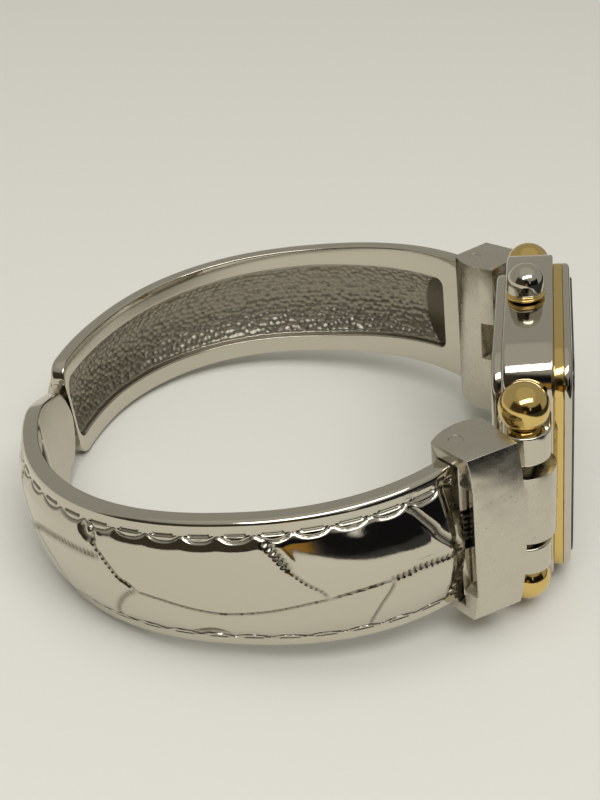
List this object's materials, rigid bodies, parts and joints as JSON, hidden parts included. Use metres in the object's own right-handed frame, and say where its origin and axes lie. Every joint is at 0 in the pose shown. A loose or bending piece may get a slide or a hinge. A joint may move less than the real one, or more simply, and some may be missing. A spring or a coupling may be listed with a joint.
{
  "type": "cuff watch",
  "caption": "Cushion-cased quartz watch with a gold-ringed bezel and domed crown on a hinged two-arm metal cuff with reptile-hide embossing.",
  "frame": {"origin": "centre of the wrist opening at mid height", "axes": "+Z along the bangle's axis to the crown side, +X out through the dial, +Y to the far arm"},
  "size_m": [0.0615, 0.0634, 0.0323],
  "materials": {
    "polished_steel": "polished",
    "satin_steel": "brushed",
    "yellow_gold": "polished gold plate",
    "brass": "satin",
    "seal_rubber": "matt",
    "mineral_glass": "clear",
    "dial_white": "satin",
    "holder_plastic": "matt",
    "board_green": "matt",
    "copper_wire": "wound wire",
    "magnet": "sintered"
  },
  "bodies": {
    "head": {"case_middle": "polished_steel", "case_back": "polished_steel", "case_back_gasket": "seal_rubber", "gold_ring": "yellow_gold", "bezel": "polished_steel", "crystal": "mineral_glass", "crystal_gasket": "seal_rubber", "dial_flange": "dial_white", "dial": "dial_white", "hour_markers": "yellow_gold", "main_plate": "brass", "movement_holder": "holder_plastic", "train_bridge": "brass", "bridge_screws": "satin_steel", "circuit_board": "board_green", "quartz_can": "satin_steel", "coil": "copper_wire", "stator": "satin_steel", "battery": "satin_steel", "battery_clamp": "brass", "crown_tube": "satin_steel", "near_lug_pin": "satin_steel", "far_lug_pin": "satin_steel", "near_upper_ball": "yellow_gold", "near_lower_ball": "yellow_gold", "far_upper_ball": "yellow_gold", "far_lower_ball": "yellow_gold", "near_block": "satin_steel", "far_block": "satin_steel", "near_hinge_pin": "satin_steel", "far_hinge_pin": "satin_steel", "near_hinge_spring": "satin_steel", "far_hinge_spring": "satin_steel"},
    "near_arm": {"near_arm": "polished_steel", "near_barrel": "satin_steel"},
    "far_arm": {"far_arm": "polished_steel", "far_barrel": "satin_steel"},
    "crown_seal": {"crown_gasket": "seal_rubber"},
    "crown": {"crown": "polished_steel", "crown_collar": "yellow_gold", "setting_stem": "satin_steel"},
    "seconds": {"second_wheel": "brass", "second_hand": "yellow_gold"},
    "minutes": {"centre_wheel": "brass", "minute_hand": "yellow_gold"},
    "hours": {"hour_wheel": "brass", "hour_hand": "yellow_gold"},
    "motion": {"minute_wheel": "brass"},
    "third": {"third_wheel": "brass"},
    "intermediate": {"intermediate_wheel": "brass"},
    "rotor": {"rotor": "magnet"}
  },
  "joints": [
    {"name": "near_arm_hinge", "type": "hinge", "parent": "head", "child": "near_arm", "pos_m": [0.017, -0.0198, 0], "axis": [0, 0, 1], "range_deg": [0, 22], "stiffness_Nm_per_rad": 0.02, "springref_deg": -20.05},
    {"name": "far_arm_hinge", "type": "hinge", "parent": "head", "child": "far_arm", "pos_m": [0.017, 0.0198, 0], "axis": [0, 0, -1], "range_deg": [0, 22], "stiffness_Nm_per_rad": 0.02, "springref_deg": -20.05},
    {"name": "crown_pull", "type": "slide", "parent": "head", "child": "crown_seal", "axis": [0, 0, 1], "range_m": [0, 0.001]},
    {"name": "crown_turn", "type": "hinge", "parent": "crown_seal", "child": "crown", "pos_m": [0.0233, 0, 0.016], "axis": [0, 0, 1], "continuous": true},
    {"name": "second_hand_turn", "type": "hinge", "parent": "head", "child": "seconds", "pos_m": [0.022, 0, 0], "axis": [1, 0, 0], "continuous": true},
    {"name": "minute_hand_turn", "type": "hinge", "parent": "head", "child": "minutes", "pos_m": [0.022, 0, 0], "axis": [1, 0, 0], "continuous": true},
    {"name": "hour_hand_turn", "type": "hinge", "parent": "head", "child": "hours", "pos_m": [0.022, 0, 0], "axis": [1, 0, 0], "continuous": true},
    {"name": "minute_wheel_turn", "type": "hinge", "parent": "head", "child": "motion", "pos_m": [0.022, 0.0012, -0.00208], "axis": [1, 0, 0], "continuous": true},
    {"name": "third_wheel_turn", "type": "hinge", "parent": "head", "child": "third", "pos_m": [0.022, -0.00335, -0.00059], "axis": [1, 0, 0], "continuous": true},
    {"name": "intermediate_wheel_turn", "type": "hinge", "parent": "head", "child": "intermediate", "pos_m": [0.022, 0.00169, 0.00318], "axis": [1, 0, 0], "continuous": true},
    {"name": "rotor_turn", "type": "hinge", "parent": "head", "child": "rotor", "pos_m": [0.022, 0.00029, 0.0056], "axis": [1, 0, 0], "continuous": true}
  ],
  "couplings": [
    {"joint": "minute_hand_turn", "follows": "second_hand_turn", "ratio": 0.016667},
    {"joint": "hour_hand_turn", "follows": "second_hand_turn", "ratio": 0.0013889},
    {"joint": "minute_wheel_turn", "follows": "second_hand_turn", "ratio": -0.0055556},
    {"joint": "third_wheel_turn", "follows": "second_hand_turn", "ratio": -0.13333},
    {"joint": "intermediate_wheel_turn", "follows": "second_hand_turn", "ratio": -5},
    {"joint": "rotor_turn", "follows": "second_hand_turn", "ratio": 30}
  ]
}
